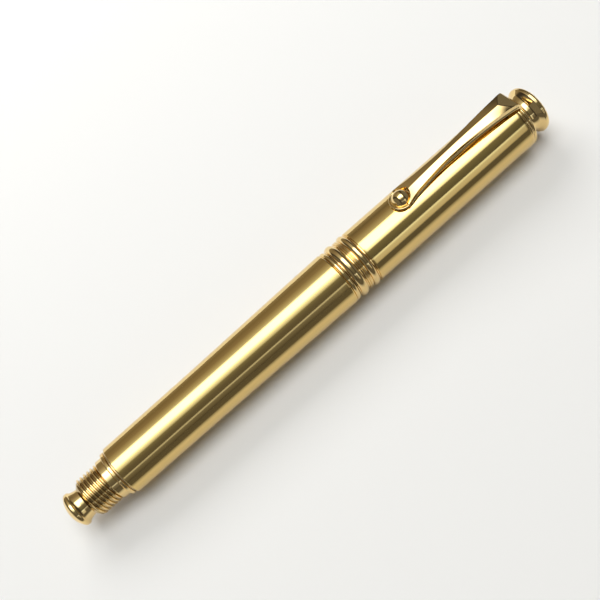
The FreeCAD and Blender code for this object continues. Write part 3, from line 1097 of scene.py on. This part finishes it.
    def skin(self, t: np.ndarray, y: np.ndarray, drop: np.ndarray, half: np.ndarray,
             inset: float) -> np.ndarray:
        """The outside or the inside of the arm.

        Its height is the roof's, less the inset, sinking to the lower edge down the sides. Near the
        bottom the sides flare by a lip that grows with the square of the way down.

        Args:
            t: stations, in mm.
            y: side distances, in mm.
            drop: 0 on the roof, rising to 1 at the bottom of a side.
            half: half the arm's width at each station.
            inset: 0 for the outside, or the wall's thickness.

        Returns:
            The points, in metres.
        """
        low = self.smooth(self.low, t)
        top = self.roof_height(t, np.clip(np.abs(y), 0, half)) - inset
        z = top + (low - top) * drop
        lip = self.lip * np.clip((drop - 0.72) / 0.28, 0, 1) ** 2
        y = y + np.sign(y) * lip * (1.0 if inset == 0 else 0.6)
        return np.stack([t - HALF_LENGTH, y, z + AXIS_HEIGHT], -1) * MM

    def top_wall(self, piece: Piece) -> None:
        """The folded end: slopes from the arm's top edge down to the ring under the finial.

        Its section is a band between a lower and an upper chain of (station, height), carried straight
        across and closed at both ends.

        Args:
            piece: the clip's arm, which it joins.
        """
        t0 = self.top
        half = float(self.smooth(self.width, np.array([t0]))[0]) / 2 - 0.05
        y = np.linspace(-1, 1, 33) * half
        high = self.roof_height(np.full_like(y, t0), y) - 0.02
        under = [(t0 - 0.5, 7.45 + 0 * y), (t0 + 0.05, 7.30 + 0 * y), (t0 + 0.55, 6.78 + 0 * y),
                 (t0 + 0.92, 6.72 + 0 * y)]
        over = [(t0 - 0.5, high - 0.1), (t0, high), (t0 + 0.62, 7.95 + 0.1 * (high - 8.5)),
                (t0 + 1.0, 7.30 + 0 * y)]
        low, top = ([np.stack([np.full_like(y, t) - HALF_LENGTH, y, h + AXIS_HEIGHT], -1) * MM
                     for t, h in chain] for chain in (under, over))
        piece.grid(np.stack(low[:1] + top + low[:0:-1]), True)
        for k, flip in ((0, False), (-1, True)):
            cap = np.stack([[row[k] for row in low], [row[k] for row in top]])
            piece.grid(cap[::-1] if flip else cap)

    def foot(self, piece: Piece) -> None:
        """The round pad under the dome, turned about the dome's upright axis, with a raised lip.

        Args:
            piece: the clip's arm, which it joins.
        """
        rows: list[Row] = [
            (6.82, 2.0), (6.82, 2.66), (6.90, 2.75), (7.28, 2.75), (7.38, 2.62, 7.34, 2.44),
            (7.28, 2.30), (7.30, 2.0)]
        piece.grid(self.upright(profile(rows, 0.04)), True, True)

    def dome(self) -> None:
        """The polished dome: a ball cut by the foot, with a plain plug below."""
        rise = math.sqrt(self.dome_radius**2 - self.seat**2)
        ball: list[Row] = [
            (6.84, 0.0), (6.84, 1.98), (7.30, 1.98), (self.dome_height + self.seat, rise),
            (self.dome_height + 1.52, 1.52, self.dome_height + self.dome_radius, 0.0)]
        piece = Piece("clip_foot_dome")
        piece.grid(self.upright(profile(ball, 0.04)), True, True)
        piece.finish(self.body, Finish.PLATED, ("clip_ball",), 40)

    def upright(self, outline: np.ndarray, sides: int = 96) -> np.ndarray:
        """Turns an outline about the upright line through the dome.

        Args:
            outline: rows of height above the pen's axis and radius, in mm.
            sides: steps round the line.

        Returns:
            The points, in metres.
        """
        turn = np.linspace(0, 2 * np.pi, sides, endpoint=False)[None]
        high, r = outline[:, :1], outline[:, 1:]
        x = self.dome_at - HALF_LENGTH + r * np.cos(turn)
        y = r * np.sin(turn)
        z = AXIS_HEIGHT + high + 0 * turn
        return np.stack([x, y, z], -1) * MM


# --------------------------------------------------------------------------------------------
# studio
# --------------------------------------------------------------------------------------------


# light round the barrel and round the cap: degrees from straight up towards -Y, then red, green, blue
SKY_BARREL: tuple[tuple[float, float, float, float], ...] = (
    (-90.0, 0.30, 0.27, 0.23),
    (-68.0, 0.22, 0.185, 0.135),
    (-46.0, 0.28, 0.24, 0.19),
    (-29.0, 0.48, 0.46, 0.38),
    (-20.5, 0.62, 0.64, 0.62),
    (-16.5, 1.20, 1.30, 1.45),
    (-12.0, 3.60, 3.60, 3.55),
    (10.0, 3.60, 3.60, 3.55),
    (18.0, 1.35, 1.45, 1.50),
    (26.0, 0.85, 0.92, 0.95),
    (29.5, 0.60, 0.64, 0.62),
    (33.0, 0.21, 0.21, 0.17),
    (45.0, 0.145, 0.14, 0.13),
    (61.5, 0.115, 0.11, 0.10),
    (63.5, 0.62, 0.66, 0.72),
    (66.5, 0.62, 0.66, 0.72),
    (69.0, 0.20, 0.20, 0.19),
    (80.0, 0.15, 0.145, 0.14),
    (90.0, 0.09, 0.085, 0.08),
)
SKY_CAP: tuple[tuple[float, float, float, float], ...] = (
    (-90.0, 0.32, 0.29, 0.25),
    (-66.0, 0.17, 0.145, 0.11),
    (-46.0, 0.28, 0.24, 0.19),
    (-24.0, 0.50, 0.49, 0.43),
    (-19.0, 0.60, 0.62, 0.60),
    (-16.0, 2.20, 2.20, 2.20),
    (-10.0, 3.60, 3.60, 3.55),
    (18.0, 3.60, 3.60, 3.60),
    (25.0, 1.60, 1.70, 1.80),
    (30.0, 1.10, 1.15, 1.20),
    (32.0, 0.20, 0.20, 0.16),
    (62.3, 0.11, 0.11, 0.10),
    (63.6, 1.05, 1.20, 1.30),
    (66.5, 1.00, 1.10, 1.15),
    (72.0, 0.68, 0.70, 0.68),
    (84.0, 0.62, 0.62, 0.60),
    (89.0, 0.50, 0.49, 0.46),
    (90.0, 0.42, 0.40, 0.37),
)

# light from past the ends of that band, from straight along the pen, and what shows behind it
SKY_ENDS = (0.045, 0.040, 0.038, 1)
SKY_SIDES = (0.17, 0.165, 0.155, 1)
SKY_SEEN = (0.93, 0.93, 0.92, 1)

# the floor's paint, and the painted shade it shows far out on the -Y side where it is seen in the metal
FLOOR_COLOUR = (0.85, 0.845, 0.83, 1)
FLOOR_FAR_PAINTED_SHADE = (0.11, 0.105, 0.10, 1)


@dataclass
class Studio:
    """Pale floor, a soft overhead band of light over a dim room, a side key and the camera.

    Attributes:
        floor_half: half the floor's side, m.
        floor_drop: gap under the pen, m.
        floor_dims: Y where the floor's painted shade in reflections starts, and where it is darkest, m.
        cap_light: X of a direction where the cap's light takes over from the barrel's.
        end_light: distance of X from 0 where the dim ends begin, and where they are complete.
        side_light: the same for the light from straight along the pen.
        key_size: the key's sides, m.
        key_angle: where it stands, degrees from straight up towards -Y.
        key_distance: how far away, m.
        key_watts: its power.
        lean: how far the pen's picture is turned, degrees.
        lift: how high the camera stands, degrees.
        tilt: how far it stands towards the tail, degrees.
        distance: from the camera to the point it looks at, m.
        aim: that point's place along the pen, and how far below the axis it lies in the view, mm.
        lens: focal length, mm.
    """

    floor_half: float = 1.6
    floor_drop: float = 2e-5
    floor_dims: tuple[float, float] = (-0.013, -0.030)
    cap_light: tuple[float, float] = (0.13, 0.19)
    end_light: tuple[float, float] = (0.38, 0.52)
    side_light: tuple[float, float] = (0.60, 0.74)
    key_size: tuple[float, float] = (0.50, 0.30)
    key_angle: float = -50.0
    key_distance: float = 0.62
    key_watts: float = 2.0
    lean: float = 41.43
    lift: float = 57.0
    tilt: float = 6.5
    distance: float = 0.1914
    aim: tuple[float, float] = (-1.8, 2.0)
    lens: float = 52.2

    def build(self) -> None:
        """Makes the floor, the surroundings, the key light and the camera."""
        self.floor()
        self.surroundings()
        self.key()
        self.camera()

    def floor(self) -> None:
        """A matt pale floor just under the pen, with painted shade far out on the -Y side that only
        reflections show.
        """
        reach = self.floor_half
        corners = [(-reach, -reach, 0), (reach, -reach, 0), (reach, reach, 0), (-reach, reach, 0)]
        mesh = bpy.data.meshes.new("floor")
        mesh.from_pydata([Vector(c) - Vector((0, 0, self.floor_drop)) for c in corners], [], [(0, 1, 2, 3)])
        made = bpy.data.objects.new("floor", mesh)
        bpy.context.scene.collection.objects.link(made)
        paint = bpy.data.materials.new("floor_paint")
        paint.use_nodes = True
        tree = paint.node_tree
        shader = next(n for n in tree.nodes if n.type == "BSDF_PRINCIPLED")
        shader.inputs["Roughness"].default_value = 0.9
        shader.inputs["Specular IOR Level"].default_value = 0.1
        place = add_node(tree, "ShaderNodeTexCoord")
        split = add_node(tree, "ShaderNodeSeparateXYZ")
        path = add_node(tree, "ShaderNodeLightPath")
        both = add_node(tree, "ShaderNodeMath", operation="MULTIPLY")
        mix = add_node(tree, "ShaderNodeMix", data_type="RGBA")
        mix.inputs[6].default_value = FLOOR_COLOUR
        # painted shade: the floor turns dark far out on the -Y side, in glossy rays only
        mix.inputs[7].default_value = FLOOR_FAR_PAINTED_SHADE
        tree.links.new(place.outputs["Object"], split.inputs[0])
        tree.links.new(self.step(tree, split.outputs["Y"], *self.floor_dims), both.inputs[0])
        tree.links.new(path.outputs["Is Glossy Ray"], both.inputs[1])
        tree.links.new(both.outputs[0], mix.inputs[0])
        tree.links.new(mix.outputs[2], shader.inputs["Base Color"])
        mesh.materials.append(paint)

    def surroundings(self) -> None:
        """Light by the angle round the pen's direction, dim beyond the ends of the band.

        The angle is the arc tangent of -y over z of the direction, and the x of the direction blends
        the barrel's ramp into the cap's, both into the dim ends, and these into grey sides.
        """
        world = bpy.data.worlds.new("studio")
        bpy.context.scene.world = world
        world.use_nodes = True
        tree = world.node_tree
        background = next(n for n in tree.nodes if n.type == "BACKGROUND")
        link = tree.links.new
        path = add_node(tree, "ShaderNodeLightPath")
        way = add_node(tree, "ShaderNodeTexCoord")
        split = add_node(tree, "ShaderNodeSeparateXYZ")
        turn = add_node(tree, "ShaderNodeMath", operation="MULTIPLY")
        turn.inputs[1].default_value = -1.0
        angle = add_node(tree, "ShaderNodeMath", operation="ARCTAN2")
        spread = add_node(tree, "ShaderNodeMapRange")
        spread.inputs["From Min"].default_value = -0.5 * math.pi
        spread.inputs["From Max"].default_value = 0.5 * math.pi
        link(way.outputs["Generated"], split.inputs[0])
        link(split.outputs["Y"], turn.inputs[0])
        link(turn.outputs[0], angle.inputs[0])
        link(split.outputs["Z"], angle.inputs[1])
        link(angle.outputs[0], spread.inputs["Value"])
        size = add_node(tree, "ShaderNodeMath", operation="ABSOLUTE")
        link(split.outputs["X"], size.inputs[0])
        capward = self.step(tree, split.outputs["X"], *self.cap_light)
        beyond = self.step(tree, size.outputs[0], *self.end_light)
        sideways = self.step(tree, size.outputs[0], *self.side_light)
        light = self.ramp(tree, spread.outputs["Result"], SKY_BARREL)
        for factor, other in ((capward, self.ramp(tree, spread.outputs["Result"], SKY_CAP)),
                              (beyond, SKY_ENDS), (sideways, SKY_SIDES),
                              (path.outputs["Is Camera Ray"], SKY_SEEN)):
            mix = add_node(tree, "ShaderNodeMix", data_type="RGBA")
            link(factor, mix.inputs[0])
            link(light, mix.inputs[6])
            if isinstance(other, tuple):
                mix.inputs[7].default_value = other
            else:
                link(other, mix.inputs[7])
            light = mix.outputs[2]
        link(light, background.inputs["Color"])

    @staticmethod
    def step(tree: bpy.types.NodeTree, value: bpy.types.NodeSocket, low: float,
             high: float) -> bpy.types.NodeSocket:
        """A smooth step from 0 to 1.

        Args:
            tree: the tree to add the node to.
            value: what the step follows.
            low: the value at which it is 0.
            high: the value at which it is 1.

        Returns:
            The step.
        """
        made = add_node(tree, "ShaderNodeMapRange", interpolation_type="SMOOTHSTEP")
        made.inputs["From Min"].default_value = low
        made.inputs["From Max"].default_value = high
        tree.links.new(value, made.inputs["Value"])
        return made.outputs["Result"]

    @staticmethod
    def ramp(tree: bpy.types.NodeTree, value: bpy.types.NodeSocket,
             rows: tuple[tuple[float, float, float, float], ...]) -> bpy.types.NodeSocket:
        """A colour ramp over the half circle above the floor.

        Args:
            tree: the world's nodes.
            value: 0 at the +Y horizon, 1 at the -Y horizon.
            rows: degrees from straight up towards -Y, then red, green and blue.

        Returns:
            The ramp's colour.
        """
        made = add_node(tree, "ShaderNodeValToRGB")
        stops = made.color_ramp.elements
        for _ in rows[2:]:
            stops.new(0.5)
        for stop, (degrees, *colour) in zip(stops, rows):
            stop.position = 0.5 + degrees / 180.0
            stop.color = (*colour, 1.0)
        tree.links.new(value, made.inputs["Fac"])
        return made.outputs["Color"]

    def key(self) -> None:
        """A soft light from the +Y side that is not seen in reflections."""
        data = bpy.data.lights.new("soft_key", "AREA")
        data.shape = "RECTANGLE"
        data.size, data.size_y = self.key_size
        data.energy = self.key_watts
        made = bpy.data.objects.new("soft_key", data)
        bpy.context.scene.collection.objects.link(made)
        angle = math.radians(self.key_angle)
        away = Vector((0, -math.sin(angle), math.cos(angle)))
        made.location = away * self.key_distance
        side = Vector((1, 0, 0))
        made.rotation_mode = "QUATERNION"
        made.rotation_quaternion = Matrix((side, away.cross(side), away)).transposed().to_quaternion()
        made.visible_glossy = False

    def camera(self) -> None:
        """Looks down across the pen, with the cap end a little farther and rising to the right."""
        lean, lift, tilt = (math.radians(a) for a in (self.lean, self.lift, self.tilt))
        across = Vector((0, -math.cos(lift), math.sin(lift)))
        back = (across * math.cos(tilt) - Vector((1, 0, 0)) * math.sin(tilt)).normalized()
        axis = (Vector((1, 0, 0)) - back * back.x).normalized()
        down = axis.cross(back)
        right = axis * math.cos(lean) + down * math.sin(lean)
        up = axis * math.sin(lean) - down * math.cos(lean)
        along, below = self.aim
        centre = Vector((along, 0, AXIS_HEIGHT)) * MM - down * below * MM
        data = bpy.data.cameras.new("camera")
        data.lens, data.sensor_width, data.clip_start = self.lens, 36.0, 0.01
        made = bpy.data.objects.new("camera", data)
        bpy.context.scene.collection.objects.link(made)
        made.matrix_world = Matrix.Translation(centre + back * self.distance) @ Matrix(
            (right, up, back)).transposed().to_4x4()
        bpy.context.scene.camera = made


def dress_cad_nodes() -> None:
    """Gives each CAD node the finish that the record names for it."""
    slots = {s["node"]: s["material_slot"] for s in frame["record"]["subparts"]}
    for name, node in frame["nodes"].items():
        material = MATERIALS[Finish(slots[name])]
        node.data.materials.clear()
        node.data.materials.append(material)
        for slot in node.material_slots:
            slot.material = material


def main() -> None:
    logging.basicConfig(level=logging.INFO, format="%(name)s %(message)s")
    groups = {"handling": handling_group(), "marks": marks_group(), "tint": tint_group(),
              "grooves": painted_groove_shade_group()}
    MATERIALS.update({r.slot: r.build(groups) for r in RECIPES})
    dress_cad_nodes()
    for assembly in (TailEnd(), Barrel(), WritingUnit(), Converter(), Cap(), Clip(), Studio()):
        assembly.build()
    bpy.context.scene.view_settings.view_transform = "Standard"
    bpy.context.view_layer.update()


if __name__ == "__main__":
    main()
